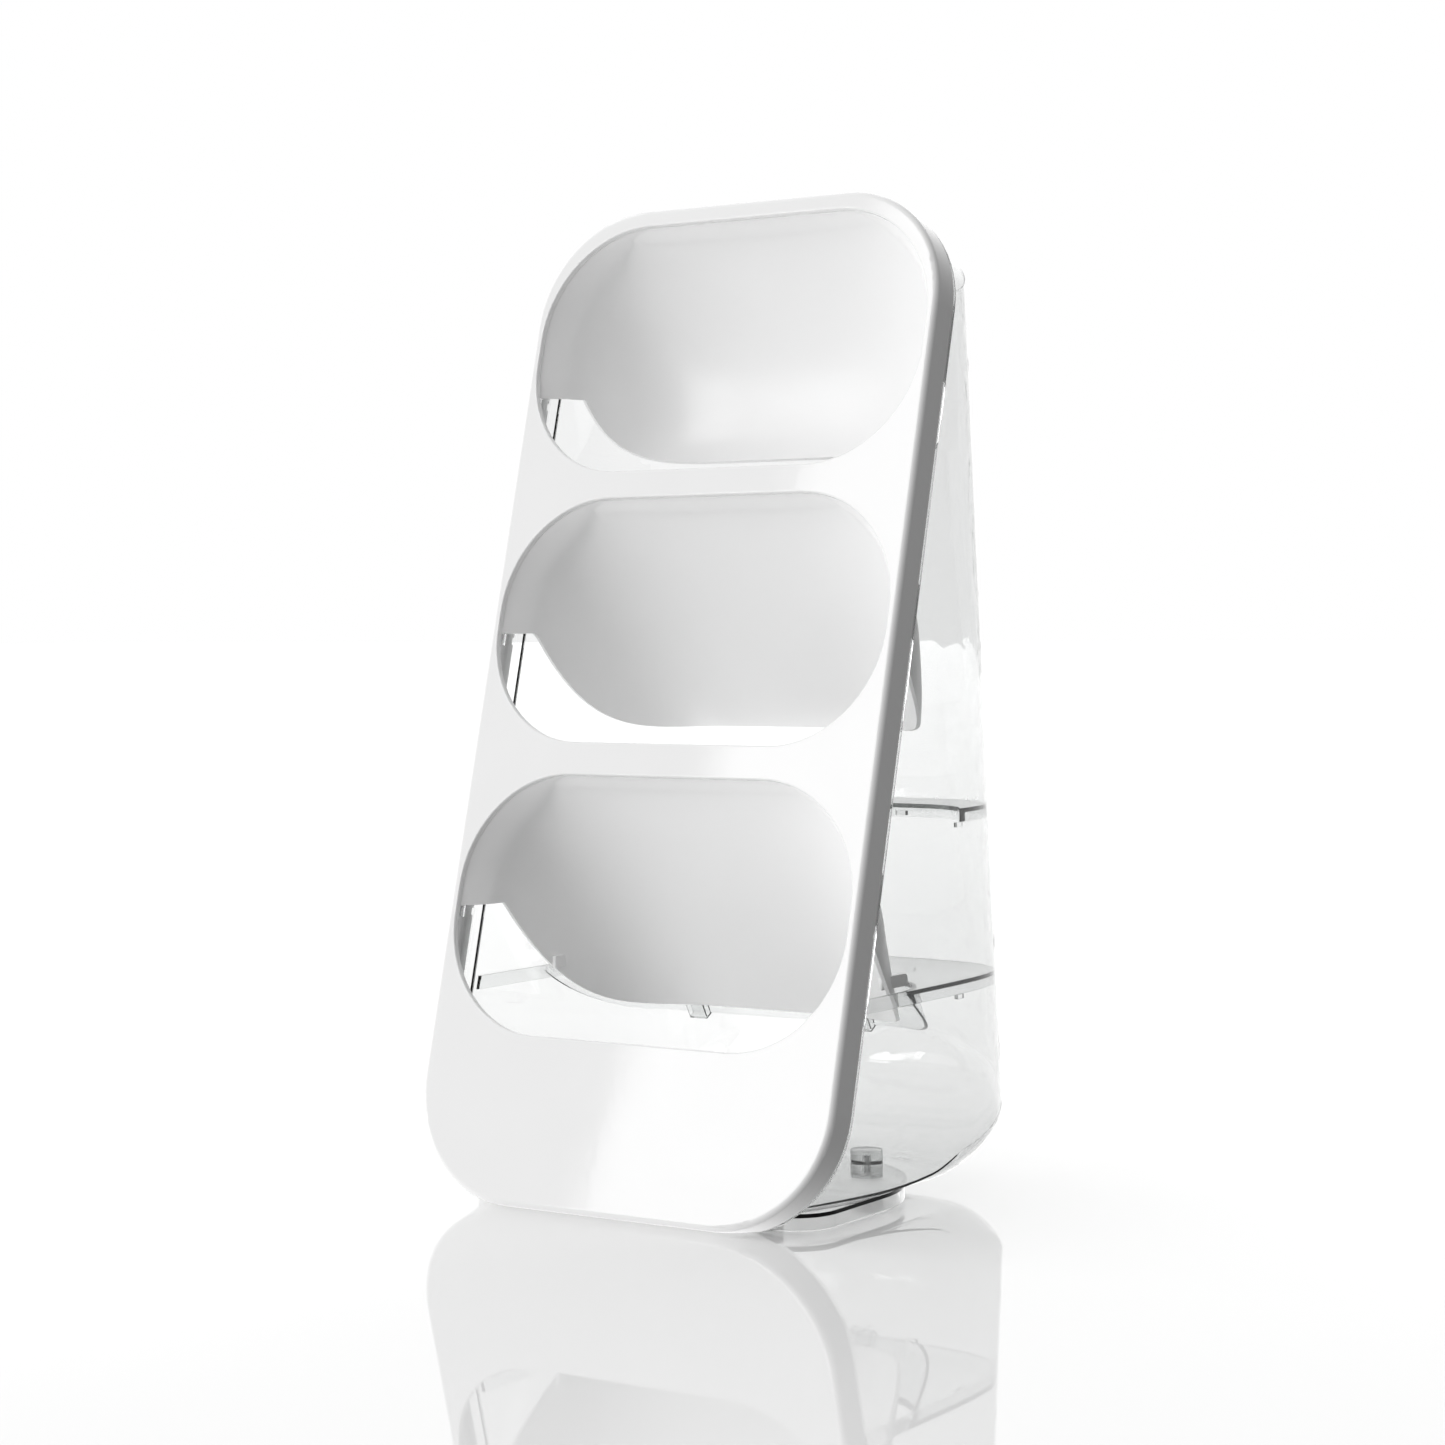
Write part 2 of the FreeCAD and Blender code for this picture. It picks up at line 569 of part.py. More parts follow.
def base_plinth():
    top = BODY_FLOOR - FIT
    plinth = plan_block(0, FLOOR_GAP, top)
    plinth = plinth.cut(plan_block(PLINTH_WALL, FLOOR_GAP - 1, top - PLINTH_WALL))
    posts = [Part.makeCylinder(BOSS_DIAMETER / 2, top - FLOOR_GAP, V(x, y, FLOOR_GAP))
             for x, y in boss_centres()]
    plinth = plinth.multiFuse(posts)
    cuts = []
    seat = FLOOR_GAP + PAD_THICKNESS - PAD_SHOW
    for x, y in boss_centres():
        cuts.append(Part.makeCylinder(PAD_DIAMETER / 2 + FIT, seat - FLOOR_GAP + 1,
                                      V(x, y, FLOOR_GAP - 1)))
        cuts.append(Part.makeCylinder(SCREW_HEAD / 2 + FIT, SCREW_HEAD_HEIGHT + FIT,
                                      V(x, y, seat)))
        cuts.append(Part.makeCylinder(SCREW_DIAMETER / 2 + FIT, PLINTH_HEIGHT, V(x, y, seat)))
    return plinth.cut(Part.makeCompound(cuts))


def plinth_screws():
    seat = FLOOR_GAP + PAD_THICKNESS - PAD_SHOW + FIT
    screws = []
    for x, y in boss_centres():
        head = Part.makeCylinder(SCREW_HEAD / 2, SCREW_HEAD_HEIGHT, V(x, y, seat))
        shank = Part.makeCylinder(SCREW_DIAMETER / 2, SCREW_TOP - seat - FIT, V(x, y, seat))
        screws.append(head.fuse(shank).removeSplitter())
    return Part.makeCompound(screws)


def foot_pads():
    pads = []
    for x, y in boss_centres():
        pad = Part.makeCylinder(PAD_DIAMETER / 2, PAD_THICKNESS, V(x, y, FLOOR_GAP - PAD_SHOW))
        pads.append(pad)
    return Part.makeCompound(pads)


NODES = {
    "front_panel": front_panel,
    "rear_shell": rear_shell,
    "upper_scoop": lambda: scoop("upper"),
    "middle_scoop": lambda: scoop("middle"),
    "lower_scoop": lambda: scoop("lower"),
    "upper_shelf": upper_shelf,
    "lower_shelf": lower_shelf,
    "shelf_clips": shelf_clips,
    "base_plinth": base_plinth,
    "plinth_screws": plinth_screws,
    "foot_pads": foot_pads,
}

os.makedirs("parts", exist_ok=True)
shapes = {node: make() for node, make in NODES.items()}
front_edge = shapes["front_panel"].optimalBoundingBox(False, False).YMin
rear_edge = shapes["rear_shell"].optimalBoundingBox(False, False).YMax
for node, shape in shapes.items():
    shape.translate(V(0, -(front_edge + rear_edge) / 2, 0))
    print(node, len(shape.Solids), round(shape.Volume / 1000, 1), "cm3", shape.isValid())
    shape.exportStep(f"parts/{node}.step")
print("moved forward by", round((front_edge + rear_edge) / 2, 3))
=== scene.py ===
import math

import bmesh
import bpy
from mathutils import Matrix, Vector


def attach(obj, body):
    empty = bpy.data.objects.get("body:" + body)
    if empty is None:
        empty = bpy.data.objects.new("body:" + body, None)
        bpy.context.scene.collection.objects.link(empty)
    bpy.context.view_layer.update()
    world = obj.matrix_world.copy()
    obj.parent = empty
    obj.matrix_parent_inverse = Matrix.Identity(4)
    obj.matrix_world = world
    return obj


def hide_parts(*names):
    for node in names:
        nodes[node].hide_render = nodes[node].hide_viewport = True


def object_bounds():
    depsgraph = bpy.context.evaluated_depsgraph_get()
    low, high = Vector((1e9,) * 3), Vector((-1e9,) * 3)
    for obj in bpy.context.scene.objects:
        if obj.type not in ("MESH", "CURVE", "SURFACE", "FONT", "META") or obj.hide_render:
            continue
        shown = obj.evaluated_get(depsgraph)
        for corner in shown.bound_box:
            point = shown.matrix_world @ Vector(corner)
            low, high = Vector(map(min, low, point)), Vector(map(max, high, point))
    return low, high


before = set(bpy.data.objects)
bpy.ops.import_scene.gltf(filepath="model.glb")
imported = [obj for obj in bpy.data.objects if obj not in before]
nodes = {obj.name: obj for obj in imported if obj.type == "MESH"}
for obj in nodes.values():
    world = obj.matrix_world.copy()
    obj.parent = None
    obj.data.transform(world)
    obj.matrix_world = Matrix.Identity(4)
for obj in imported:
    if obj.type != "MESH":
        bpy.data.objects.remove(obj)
cad_low, cad_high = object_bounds()
scene = bpy.context.scene


# ---------------------------------------------------------------- camera
# Metres, millimetres of lens and degrees. The view turns from +Y towards -X by the azimuth.
CAMERA_AT = Vector((1.1222, cad_low.y - 1.5671, 0.3822))
CAMERA_AZIMUTH = 33.28
CAMERA_PITCH = -1.942
CAMERA_ROLL = 0.375
LENS = 76.0
SENSOR = 36.0


def make_camera():
    az, el, roll = (math.radians(a) for a in (CAMERA_AZIMUTH, CAMERA_PITCH, CAMERA_ROLL))
    ahead = Vector((-math.sin(az) * math.cos(el), math.cos(az) * math.cos(el), math.sin(el)))
    right = Vector((math.cos(az), math.sin(az), 0.0))
    down = ahead.cross(right)
    image_x = right * math.cos(roll) + down * math.sin(roll)
    image_y = down * math.cos(roll) - right * math.sin(roll)
    data = bpy.data.cameras.new("camera")
    data.lens = LENS
    data.sensor_width = SENSOR
    data.clip_start = 0.05
    data.clip_end = 100.0
    camera = bpy.data.objects.new("camera", data)
    turn = Matrix((image_x, -image_y, -ahead)).transposed().to_4x4()
    camera.matrix_world = Matrix.Translation(CAMERA_AT) @ turn
    scene.collection.objects.link(camera)
    scene.camera = camera


make_camera()


# ---------------------------------------------------------------- node helpers
NOISE_LOW, NOISE_HIGH = 0.3, 0.7           # the range that nearly all of a noise falls in


def new_material(name):
    mat = bpy.data.materials.new(name)
    mat.use_nodes = True
    tree = mat.node_tree
    tree.nodes.clear()
    out = tree.nodes.new("ShaderNodeOutputMaterial")
    return mat, tree, out


def noise(tree, coords, scale, detail=3.0, roughness=0.5, distortion=0.0):
    n = tree.nodes.new("ShaderNodeTexNoise")
    n.inputs["Scale"].default_value = scale
    n.inputs["Detail"].default_value = detail
    n.inputs["Roughness"].default_value = roughness
    n.inputs["Distortion"].default_value = distortion
    tree.links.new(coords, n.inputs["Vector"])
    return n.outputs["Fac"]


def ramp(tree, factor, low, high):
    """A colour that runs from low to high with a noise."""
    r = tree.nodes.new("ShaderNodeValToRGB")
    r.color_ramp.elements[0].position = NOISE_LOW
    r.color_ramp.elements[1].position = NOISE_HIGH
    r.color_ramp.elements[0].color = (*low, 1.0)
    r.color_ramp.elements[1].color = (*high, 1.0)
    tree.links.new(factor, r.inputs["Fac"])
    return r.outputs["Color"]


def spread(tree, factor, low, high):
    """A number that runs from low to high with a noise."""
    m = tree.nodes.new("ShaderNodeMapRange")
    m.inputs["From Min"].default_value = NOISE_LOW
    m.inputs["From Max"].default_value = NOISE_HIGH
    m.inputs["To Min"].default_value = low
    m.inputs["To Max"].default_value = high
    tree.links.new(factor, m.inputs["Value"])
    return m.outputs["Result"]


def bump(tree, height, distance, strength, normal=None):
    b = tree.nodes.new("ShaderNodeBump")
    b.inputs["Distance"].default_value = distance
    b.inputs["Strength"].default_value = strength
    tree.links.new(height, b.inputs["Height"])
    if normal is not None:
        tree.links.new(normal, b.inputs["Normal"])
    return b.outputs["Normal"]


def object_coords(tree):
    return tree.nodes.new("ShaderNodeTexCoord").outputs["Object"]


# ---------------------------------------------------------------- materials
WHITE = (1.0, 1.0, 1.0, 1.0)
PLASTIC_IOR = 1.5
CLEAR_IOR = 1.49
ABSORBED = (0.48, 0.5, 0.49, 1.0)          # colour that clear plastic turns a long path


def moulded_white(name, shades, polishes, peel, grain):
    """Moulded plastic: a faint flow mottle in the colour, an uneven polish and a shallow orange peel."""
    mat, tree, out = new_material(name)
    coords = object_coords(tree)
    p = tree.nodes.new("ShaderNodeBsdfPrincipled")
    p.inputs["IOR"].default_value = PLASTIC_IOR
    flow = noise(tree, coords, 9.0, detail=4.0, distortion=0.6)
    tree.links.new(ramp(tree, flow, *shades), p.inputs["Base Color"])
    polish = noise(tree, coords, 38.0, detail=5.0, roughness=0.6)
    tree.links.new(spread(tree, polish, *polishes), p.inputs["Roughness"])
    waves = noise(tree, coords, 120.0, detail=2.0)
    fine = noise(tree, coords, 1400.0, detail=2.0)
    peeled = bump(tree, waves, 0.001, peel)
    tree.links.new(bump(tree, fine, 0.0002, grain, peeled), p.inputs["Normal"])
    tree.links.new(p.outputs["BSDF"], out.inputs["Surface"])
    return mat


def clear_plastic(name, tints, roughest, absorb):
    """Clear moulded plastic: bends and mirrors what is behind it, with a faint uneven polish.

    It greys a long path by absorb per metre. Lamps shine through it."""
    mat, tree, out = new_material(name)
    coords = object_coords(tree)
    p = tree.nodes.new("ShaderNodeBsdfPrincipled")
    p.inputs["IOR"].default_value = CLEAR_IOR
    p.inputs["Transmission Weight"].default_value = 1.0
    flow = noise(tree, coords, 6.0, detail=3.0, distortion=0.8)
    tree.links.new(ramp(tree, flow, *tints), p.inputs["Base Color"])
    polish = noise(tree, coords, 60.0, detail=4.0)
    tree.links.new(spread(tree, polish, 0.0, roughest), p.inputs["Roughness"])
    waves = noise(tree, coords, 26.0, detail=1.0)
    tree.links.new(bump(tree, waves, 0.0005, 0.01), p.inputs["Normal"])
    through = tree.nodes.new("ShaderNodeBsdfTransparent")
    through.inputs["Color"].default_value = WHITE
    path = tree.nodes.new("ShaderNodeLightPath")
    either = tree.nodes.new("ShaderNodeMath")
    either.operation = "MAXIMUM"
    tree.links.new(path.outputs["Is Shadow Ray"], either.inputs[0])
    tree.links.new(path.outputs["Is Diffuse Ray"], either.inputs[1])
    mix = tree.nodes.new("ShaderNodeMixShader")
    tree.links.new(either.outputs[0], mix.inputs["Fac"])
    tree.links.new(p.outputs["BSDF"], mix.inputs[1])
    tree.links.new(through.outputs["BSDF"], mix.inputs[2])
    tree.links.new(mix.outputs["Shader"], out.inputs["Surface"])
    murk = tree.nodes.new("ShaderNodeVolumeAbsorption")
    murk.inputs["Color"].default_value = ABSORBED
    murk.inputs["Density"].default_value = absorb / (1.0 - ABSORBED[1])
    tree.links.new(murk.outputs["Volume"], out.inputs["Volume"])
    return mat


def brushed_steel(name):
    mat, tree, out = new_material(name)
    coords = object_coords(tree)
    p = tree.nodes.new("ShaderNodeBsdfPrincipled")
    p.inputs["Metallic"].default_value = 1.0
    blotch = noise(tree, coords, 400.0, detail=4.0)
    tree.links.new(ramp(tree, blotch, (0.72, 0.72, 0.73), (0.84, 0.84, 0.85)), p.inputs["Base Color"])
    tree.links.new(spread(tree, blotch, 0.24, 0.38), p.inputs["Roughness"])
    scratch = noise(tree, coords, 2500.0, detail=2.0)
    tree.links.new(bump(tree, scratch, 0.0001, 0.3), p.inputs["Normal"])
    tree.links.new(p.outputs["BSDF"], out.inputs["Surface"])
    return mat


def soft_rubber(name):
    mat, tree, out = new_material(name)
    coords = object_coords(tree)
    p = tree.nodes.new("ShaderNodeBsdfPrincipled")
    p.inputs["IOR"].default_value = 1.45
    dust = noise(tree, coords, 220.0, detail=5.0, roughness=0.65)
    tree.links.new(ramp(tree, dust, (0.74, 0.75, 0.75), (0.84, 0.85, 0.85)), p.inputs["Base Color"])
    tree.links.new(spread(tree, dust, 0.5, 0.72), p.inputs["Roughness"])
    pores = noise(tree, coords, 3000.0, detail=2.0)
    tree.links.new(bump(tree, pores, 0.0002, 0.5), p.inputs["Normal"])
    tree.links.new(p.outputs["BSDF"], out.inputs["Surface"])
    return mat


def grey(level):
    return (level, level, level)


# Two shades of the colour and two degrees of polish, then the depth of the orange peel and the grain.
panel_white = moulded_white("panel_white", (grey(0.865), grey(0.885)), (0.035, 0.075), 0.02, 0.015)
# The scoops' white is lighter than the panel's white plastic. The extra brightness is painted light: it
# stands in for the fill light inside the bowls.
scoop_white = moulded_white("scoop_white", (grey(0.945), grey(0.96)), (0.3, 0.4), 0.03, 0.03)
CLEAREST = ((0.985, 0.988, 0.988), (0.995, 0.996, 0.996))
shell_clear = clear_plastic("shell_clear", CLEAREST, 0.012, 20.0)
shelf_clear = clear_plastic("shelf_clear", ((0.97, 0.975, 0.975), (0.985, 0.988, 0.988)), 0.02, 30.0)
plinth_clear = clear_plastic("plinth_clear", CLEAREST, 0.012, 3.0)
screw_steel = brushed_steel("screw_steel")
pad_rubber = soft_rubber("pad_rubber")

FINISH = {
    "front_panel": panel_white,
    "rear_shell": shell_clear,
    "upper_scoop": scoop_white,
    "middle_scoop": scoop_white,
    "lower_scoop": scoop_white,
    "upper_shelf": shelf_clear,
    "lower_shelf": shelf_clear,
    "shelf_clips": shelf_clear,
    "base_plinth": plinth_clear,
    "plinth_screws": screw_steel,
    "foot_pads": pad_rubber,
}
for name, mat in FINISH.items():
    piece = nodes[name]
    for slot in piece.material_slots:
        slot.material = mat


# ---------------------------------------------------------------- scoops
# Three smooth bowls stand for the CAD scoops. Millimetres in the leaning panel's own frame:
# x across, s up the slope, d behind the face. The mouths, ears, back lines and feet have the CAD
# model's sizes. The sides and the sag of the free edge are the bowls' own.
TILT = math.radians(14.7)
SIN, COS = math.sin(TILT), math.cos(TILT)
FACE_LIFT = 2.7                            # Z of the bottom edge of the face
FACE_FOOT = cad_low.y * 1000.0 - 0.9       # Y of the bottom edge of the face
MOUTH_HALF = 153.25        # half the mouth's width
MOUTH_CORNER = 78.0
SCOOP_FRONT = 4.2          # the bowls start this far behind the face
SCOOP_WALL = 2.5
SHARP_ANGLE = math.radians(35.0)
FLANGE_DEPTH = 2.0
FLANGE_OVERLAP = 2.6       # outside the mouth's line
FLANGE_INSET = 0.2         # and inside it
THROAT_DROP = 5.0          # the back line's bend lies this much under the mouth's top edge
THROAT_DEPTH = 19.5        # and this much deeper
FOOT_Z = 142.2             # just over the lower shelf
FOOT_LENGTH = 34.0
FOOT_HEIGHT = 8.0
FOOT_OVERHANG = 14.0       # past halfway from the ear to the free edge's middle
FOOT_JOIN = 0.72           # a foot meets the bowl this share of its length from its tip
FOOT_SIDES = (0.5, 2.0)    # a foot reaches this far inside and outside of the bowl's face
FOOT_TRIES = 200           # points tried each way for the place where a foot meets the bowl
FOOT_NEAREST = 0.3         # the first of them, from the middle at 0 to the side at 1

# Of each scoop: its mouth's bottom and height up the slope, how far the ears lie under the mouth's
# middle and reach behind the face, the free edge's depth, rise and sag, and the handles of the
# back line.
SCOOPS = {
    "lower": dict(bottom=111.3, height=175.0, ear_drop=5.0, ear_reach=37.0, reach=178.0,
                  rise=1.7, sag=0.15, crown=(27.0, -11.0), tail=(-22.0, 38.0)),
    "middle": dict(bottom=308.6, height=169.0, ear_drop=10.0, ear_reach=29.0, reach=149.0,
                   rise=5.9, sag=0.17, crown=(24.0, -9.0), tail=(4.0, 46.0)),
    "upper": dict(bottom=496.5, height=175.5, ear_drop=32.0, ear_reach=43.0, reach=102.0,
                  rise=10.0, sag=0.17, crown=(24.0, -9.0), tail=(42.0, 50.0)),
}
LEAD_IN = 22.0             # the bowl narrows behind the mouth over this depth
NARROWING = 11.5           # by this much each side
SIDE_SLOPE = 0.08          # and its sides then lean in by this share of their depth
LEAD_START = (0.28, 0.4)   # handles of the lead-in, as shares of its depth
LEAD_END = (0.3, 0.7)
RIM_SHARE = 0.8            # the lead-in ends here on a row that runs from 0 in the middle to 1
FLAT_SHARE = 0.2           # and the flat middle ends here
FLAT_HALF = 0.3            # half the flat middle's width, as a share of the mouth's half
BEND_SHARE = 0.55          # handles of the bend between side and back
BEND_WIDE = 0.76
ROOF_SAMPLES = 12
BACK_SAMPLES = 60
PAST_TAIL = 40.0           # the back line runs this far past the free edge, to be cut
COLUMNS = 48
ROWS = 60
CROWDING = 0.4             # columns stand closer at the sides, where the bowl bends most
MERGE = 3e-5               # metres: points nearer than this are one
HALVINGS = 40              # steps of the search for the free edge
ARC_STEPS = 24
TIP_STEPS = 12


def to_frame(x, y, z):
    return Vector((x, y + FACE_FOOT, z)) / 1000.0


def slope_point(s, d):
    return s * SIN + d * COS, FACE_LIFT + s * COS - d * SIN


def face_y(z):
    return (z - FACE_LIFT) * SIN / COS


def bezier(points, t):
    a, b, c, d = points
    k = 1.0 - t
    return tuple(k ** 3 * a[i] + 3 * k * k * t * b[i] + 3 * k * t * t * c[i] + t ** 3 * d[i]
                 for i in (0, 1))


def back_curve(data):
    """Samples (s, d) of the bowl's middle line, from the mouth's top edge to below its free edge."""
    top = data["bottom"] + data["height"]
    start = slope_point(top, SCOOP_FRONT)
    crown = slope_point(top - THROAT_DROP, SCOOP_FRONT + THROAT_DEPTH)
    z = FACE_LIFT + data["bottom"] * COS + data["rise"]
    tail = (face_y(z) + data["reach"], z)
    first = (crown[0] + data["crown"][0], crown[1] + data["crown"][1])
    second = (tail[0] + data["tail"][0], tail[1] + data["tail"][1])
    out = Vector((first[0] - crown[0], first[1] - crown[1])).normalized()
    lead = (Vector(crown) - Vector(start)).length / 3.0
    roof = [start, (start[0] + COS * lead, start[1] - SIN * lead),
            (crown[0] - out.x * lead, crown[1] - out.y * lead), crown]
    back = [crown, first, second, tail]
    points = [bezier(roof, i / ROOF_SAMPLES) for i in range(ROOF_SAMPLES)]
    points += [bezier(back, i / BACK_SAMPLES) for i in range(BACK_SAMPLES + 1)]
    down = Vector((tail[0] - second[0], tail[1] - second[1])).normalized()
    points.append((tail[0] + down.x * PAST_TAIL, tail[1] + down.y * PAST_TAIL))
    flat = [(y * SIN + (z - FACE_LIFT) * COS, y * COS - (z - FACE_LIFT) * SIN) for y, z in points]
    return flat, tail


def mouth_half(data, s):
    """Half the mouth's width at slope s, inside its round upper corners."""
    over = s - (data["bottom"] + data["height"] - MOUTH_CORNER)
    if over <= 0.0:
        return MOUTH_HALF
    over = min(over, MOUTH_CORNER)
    return MOUTH_HALF - MOUTH_CORNER + math.sqrt(max(MOUTH_CORNER ** 2 - over ** 2, 0.0))


def ear_height(data):
    return FACE_LIFT + (data["bottom"] + data["height"] / 2 - data["ear_drop"]) * COS


def cut_height(data, tail, y):
    """Height of the free edge, seen from the side, at depth y."""
    ear_z = ear_height(data)
    ear_y = face_y(ear_z) + data["ear_reach"]
    if y <= ear_y:
        return ear_z
    if y >= tail[0]:
        return tail[1]
    t = (y - ear_y) / (tail[0] - ear_y)
    length = math.dist((ear_y, ear_z), tail)
    return ear_z + (tail[1] - ear_z) * t - 4.0 * data["sag"] * length * t * (1.0 - t)


def bowl_point(data, curve, across, along):
    """Point (x, y, z) of the bowl: across runs from -1 to 1, along from 0 at the top to 1 at the end."""
    place = along * (len(curve) - 1)
    i = min(int(place), len(curve) - 2)
    f = place - i
    s = curve[i][0] * (1 - f) + curve[i + 1][0] * f
    deep = curve[i][1] * (1 - f) + curve[i + 1][1] * f - SCOOP_FRONT
    w = mouth_half(data, s)
    side = abs(across)
    lead = min(LEAD_IN, 0.5 * deep)
    wall = w - NARROWING * lead / LEAD_IN
    if side > RIM_SHARE:
        near_rim = (w - LEAD_START[0] * lead, LEAD_START[1] * lead)
        near_wall = (wall + LEAD_END[0] * SIDE_SLOPE * lead, LEAD_END[1] * lead)
        row = [(w, 0.0), near_rim, near_wall, (wall, lead)]
        x, d = bezier(row, (1.0 - side) / (1.0 - RIM_SHARE))
    elif side > FLAT_SHARE:
        reach = BEND_SHARE * (deep - lead)
        bend = (wall - SIDE_SLOPE * reach, lead + reach)
        row = [(wall, lead), bend, (BEND_WIDE * w, deep), (FLAT_HALF * w, deep)]
        x, d = bezier(row, (RIM_SHARE - side) / (RIM_SHARE - FLAT_SHARE))
    else:
        x, d = FLAT_HALF * w * side / FLAT_SHARE, deep
    y, z = slope_point(s, d + SCOOP_FRONT)
    return math.copysign(x, across), y, z


def bowl_mesh(bm, data):
    curve, tail = back_curve(data)
    grid = []
    for c in range(2 * COLUMNS + 1):
        even = c / COLUMNS - 1.0
        across = math.sin(even * math.pi / 2) * CROWDING + even * (1.0 - CROWDING)
        low, high = 0.0, 1.0
        for _ in range(HALVINGS):
            half_way = (low + high) / 2
            x, y, z = bowl_point(data, curve, across, half_way)
            if z > cut_height(data, tail, y):
                low = half_way
            else:
                high = half_way
        column = []
        for r in range(ROWS + 1):
            point = bowl_point(data, curve, across, low * r / ROWS)
            column.append(bm.verts.new(to_frame(*point)))
        grid.append(column)
    for left, right in zip(grid, grid[1:]):
        for r in range(ROWS):
            bm.faces.new((left[r], left[r + 1], right[r + 1], right[r]))
    bmesh.ops.remove_doubles(bm, verts=bm.verts, dist=MERGE)
    return curve, tail


def thicken(bm, wall):
    """Gives an open sheet a wall on the side its faces turn away from."""
    bm.normal_update()
    inner = list(bm.verts)
    normals = [v.normal.copy() for v in inner]
    rim = [e for e in bm.edges if e.is_boundary]
    faces = list(bm.faces)
    outer = {v: bm.verts.new(v.co - n * wall) for v, n in zip(inner, normals)}
    for face in faces:
        bm.faces.new([outer[v] for v in reversed(face.verts)])
    for edge in rim:
        loop = edge.link_loops[0]
        a, b = loop.vert, loop.link_loop_next.vert
        bm.faces.new((b, a, outer[a], outer[b]))


def sweep_flange(bm, data):
    """The thin flange behind the mouth's lip, from ear to ear over the top."""
    top = data["bottom"] + data["height"]
    ear_s = (ear_height(data) - FACE_LIFT + SCOOP_FRONT * SIN) / COS
    path = []
    centre_x, centre_s = MOUTH_HALF - MOUTH_CORNER, top - MOUTH_CORNER
    path.append(((MOUTH_HALF, ear_s), (1.0, 0.0)))
    for i in range(ARC_STEPS + 1):
        a = i / ARC_STEPS * math.pi / 2
        out = (math.cos(a), math.sin(a))
        path.append(((centre_x + MOUTH_CORNER * out[0], centre_s + MOUTH_CORNER * out[1]), out))
    path += [((-x, s), (-nx, ns)) for (x, s), (nx, ns) in reversed(path)]
    rings = []
    section = ((-FLANGE_INSET, 0.0), (FLANGE_OVERLAP, 0.0),
               (FLANGE_OVERLAP, FLANGE_DEPTH), (-FLANGE_INSET, FLANGE_DEPTH))
    for (x, s), (nx, ns) in path:
        ring = []
        for grow, d in section:
            y, z = slope_point(s + ns * grow, SCOOP_FRONT + d)
            ring.append(bm.verts.new(to_frame(x + nx * grow, y, z)))
        rings.append(ring)
    for a, b in zip(rings, rings[1:]):
        for i in range(len(section)):
            j = (i + 1) % len(section)
            bm.faces.new((a[i], b[i], b[j], a[j]))
    bm.faces.new(rings[0])
    bm.faces.new(reversed(rings[-1]))


def foot_tab(bm, x0, x1, rear):
    """Flat foot with a round tip, standing on the shelf."""
    r = FOOT_HEIGHT / 2
    outline = [(rear - FOOT_LENGTH, FOOT_Z), (rear - FOOT_LENGTH, FOOT_Z + FOOT_HEIGHT)]
    for i in range(TIP_STEPS + 1):
        a = math.pi / 2 - i / TIP_STEPS * math.pi
        outline.append((rear - r + r * math.cos(a), FOOT_Z + r + r * math.sin(a)))
    sides = [[bm.verts.new(to_frame(x, y, z)) for y, z in outline] for x in (x0, x1)]
    bm.faces.new(sides[0])
    bm.faces.new(reversed(sides[1]))
    for i in range(len(outline)):
        j = (i + 1) % len(outline)
        bm.faces.new((sides[0][j], sides[0][i], sides[1][i], sides[1][j]))


def foot_place(data, curve, rear):
    """Half-width of the bowl where a foot meets it."""
    last = FOOT_TRIES - 1
    meet_y = rear - FOOT_JOIN * FOOT_LENGTH
    meet_z = FOOT_Z + FOOT_HEIGHT
    best = None
    for c in range(FOOT_TRIES):
        across = FOOT_NEAREST + (1.0 - FOOT_NEAREST) * c / last
        for r in range(FOOT_TRIES):
            x, y, z = bowl_point(data, curve, across, r / last)
            gap = abs(y - meet_y) + abs(z - meet_z)
            if best is None or gap < best[0]:
                best = (gap, x)
    return best[1]


def make_scoop(name):
    data = SCOOPS[name]
    bm = bmesh.new()
    curve, tail = bowl_mesh(bm, data)
    thicken(bm, SCOOP_WALL / 1000.0)
    sweep_flange(bm, data)
    if name == "lower":
        ear_z = ear_height(data)
        rear = (face_y(ear_z) + data["ear_reach"] + tail[0]) / 2 + FOOT_OVERHANG
        wall_x = foot_place(data, curve, rear)
        inward, outward = FOOT_SIDES
        foot_tab(bm, wall_x - inward, wall_x + outward, rear)
        foot_tab(bm, -wall_x - outward, -wall_x + inward, rear)
    bmesh.ops.recalc_face_normals(bm, faces=bm.faces)
    mesh = bpy.data.meshes.new(name + "_scoop_bowl")
    bm.to_mesh(mesh)
    bm.free()
    mesh.polygons.foreach_set("use_smooth", [True] * len(mesh.polygons))
    mesh.set_sharp_from_angle(angle=SHARP_ANGLE)
    mesh.materials.append(scoop_white)
    piece = bpy.data.objects.new(name + "_scoop_bowl", mesh)
    scene.collection.objects.link(piece)
    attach(piece, "root")
    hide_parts(name + "_scoop")


for scoop_name in SCOOPS:
    make_scoop(scoop_name)


# ---------------------------------------------------------------- floor, light
FLOOR_HALF = 40.0
FLOOR_SHADE = 0.82
FLOOR_POLISH = 0.02
FLOOR_LIFT = 0.03          # glow that only the camera sees


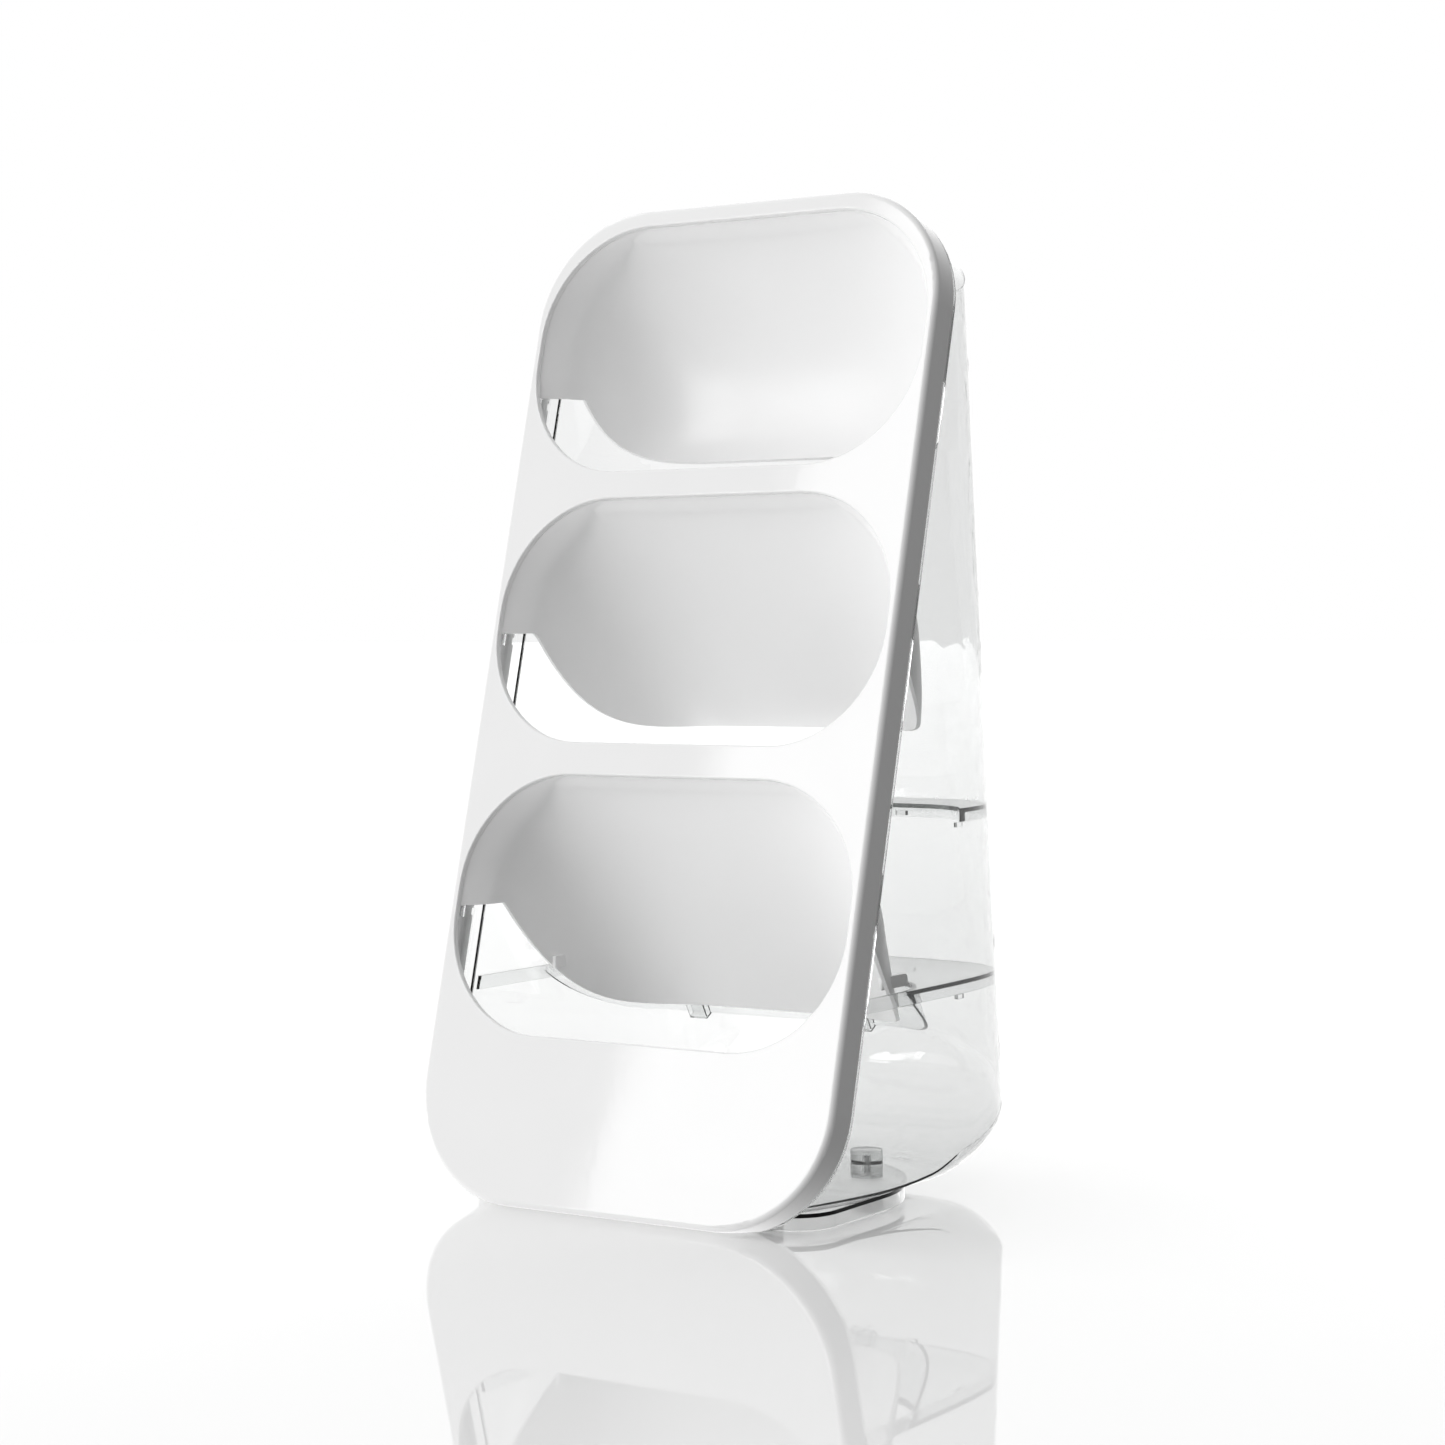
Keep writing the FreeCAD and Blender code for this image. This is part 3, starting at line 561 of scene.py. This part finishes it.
def make_floor():
    """Glossy white floor that gives the object no bounce light."""
    mesh = bpy.data.meshes.new("floor")
    s = FLOOR_HALF
    mesh.from_pydata([(-s, -s, 0), (s, -s, 0), (s, s, 0), (-s, s, 0)], [], [(0, 1, 2, 3)])
    floor = bpy.data.objects.new("floor", mesh)
    scene.collection.objects.link(floor)
    mat, tree, out = new_material("floor_gloss")
    p = tree.nodes.new("ShaderNodeBsdfPrincipled")
    p.inputs["Base Color"].default_value = (*grey(FLOOR_SHADE), 1.0)
    p.inputs["Roughness"].default_value = FLOOR_POLISH
    p.inputs["IOR"].default_value = PLASTIC_IOR
    p.inputs["Emission Color"].default_value = WHITE
    path = tree.nodes.new("ShaderNodeLightPath")
    lift = tree.nodes.new("ShaderNodeMath")
    lift.operation = "MULTIPLY"
    lift.inputs[1].default_value = FLOOR_LIFT
    tree.links.new(path.outputs["Is Camera Ray"], lift.inputs[0])
    tree.links.new(lift.outputs[0], p.inputs["Emission Strength"])
    tree.links.new(p.outputs["BSDF"], out.inputs["Surface"])
    mesh.materials.append(mat)
    floor.visible_diffuse = False
    floor.visible_glossy = False


make_floor()


# The studio as a light is brightest towards BRIGHT_SIDE and dim on the other side. Seen through
# clear plastic it is a little dimmer towards DIM_SIDE. To the camera it is plain white.
BRIGHT_SIDE = (-0.99, -0.05, 0.1)
BRIGHT_RANGE = (-0.7, 0.3)                 # cosines between which the change happens
ROOM_DIM, ROOM_BRIGHT = 0.15, 1.4
DIM_SIDE = (0.83, 0.55, 0.0)
DIM_RANGE = (0.2, 0.7)
FLAG_DIM = 0.38


def side_factor(tree, direction, start, end):
    """0 to 1 as a ray's direction turns from start to end, as cosines with the given direction."""
    coords = tree.nodes.new("ShaderNodeTexCoord")
    dot = tree.nodes.new("ShaderNodeVectorMath")
    dot.operation = "DOT_PRODUCT"
    dot.inputs[1].default_value = direction
    tree.links.new(coords.outputs["Generated"], dot.inputs[0])
    step = tree.nodes.new("ShaderNodeMapRange")
    step.interpolation_type = "SMOOTHSTEP"
    step.inputs["From Min"].default_value = start
    step.inputs["From Max"].default_value = end
    tree.links.new(dot.outputs["Value"], step.inputs["Value"])
    return step.outputs["Result"]


def graded(tree, factor, low, high):
    """A background whose strength runs from low to high with the factor."""
    level = tree.nodes.new("ShaderNodeMapRange")
    level.inputs["To Min"].default_value = low
    level.inputs["To Max"].default_value = high
    tree.links.new(factor, level.inputs["Value"])
    sky = tree.nodes.new("ShaderNodeBackground")
    sky.inputs["Color"].default_value = WHITE
    tree.links.new(level.outputs["Result"], sky.inputs["Strength"])
    return sky.outputs["Background"]


def make_world():
    """Plain white studio: white to look at, and dimmer at the right as a light source."""
    world = bpy.data.worlds.new("studio")
    world.use_nodes = True
    tree = world.node_tree
    tree.nodes.clear()
    out = tree.nodes.new("ShaderNodeOutputWorld")
    path = tree.nodes.new("ShaderNodeLightPath")
    plain = tree.nodes.new("ShaderNodeBackground")
    plain.inputs["Color"].default_value = WHITE
    plain.inputs["Strength"].default_value = 1.0
    room = graded(tree, side_factor(tree, BRIGHT_SIDE, *BRIGHT_RANGE), ROOM_DIM, ROOM_BRIGHT)
    through = graded(tree, side_factor(tree, DIM_SIDE, *DIM_RANGE), 1.0, FLAG_DIM)
    first = tree.nodes.new("ShaderNodeMixShader")
    tree.links.new(path.outputs["Is Transmission Ray"], first.inputs["Fac"])
    tree.links.new(room, first.inputs[1])
    tree.links.new(through, first.inputs[2])
    last = tree.nodes.new("ShaderNodeMixShader")
    tree.links.new(path.outputs["Is Camera Ray"], last.inputs["Fac"])
    tree.links.new(first.outputs["Shader"], last.inputs[1])
    tree.links.new(plain.outputs["Background"], last.inputs[2])
    tree.links.new(last.outputs["Shader"], out.inputs["Surface"])
    scene.world = world


make_world()


def area_light(name, at, look, width, height, radiance):
    data = bpy.data.lights.new(name, "AREA")
    data.shape = "RECTANGLE"
    data.size = width
    data.size_y = height
    data.energy = radiance * width * height * math.pi
    light = bpy.data.objects.new(name, data)
    light.location = at
    light.rotation_euler = (Vector(look) - Vector(at)).to_track_quat("-Z", "Y").to_euler()
    light.visible_diffuse = False
    scene.collection.objects.link(light)


area_light("softbox", at=(-1.17, cad_low.y - 3.0, 1.9), look=(-1.17, 0.0, 1.9),
           width=2.1, height=4.0, radiance=3.5)

scene.view_settings.view_transform = "Standard"
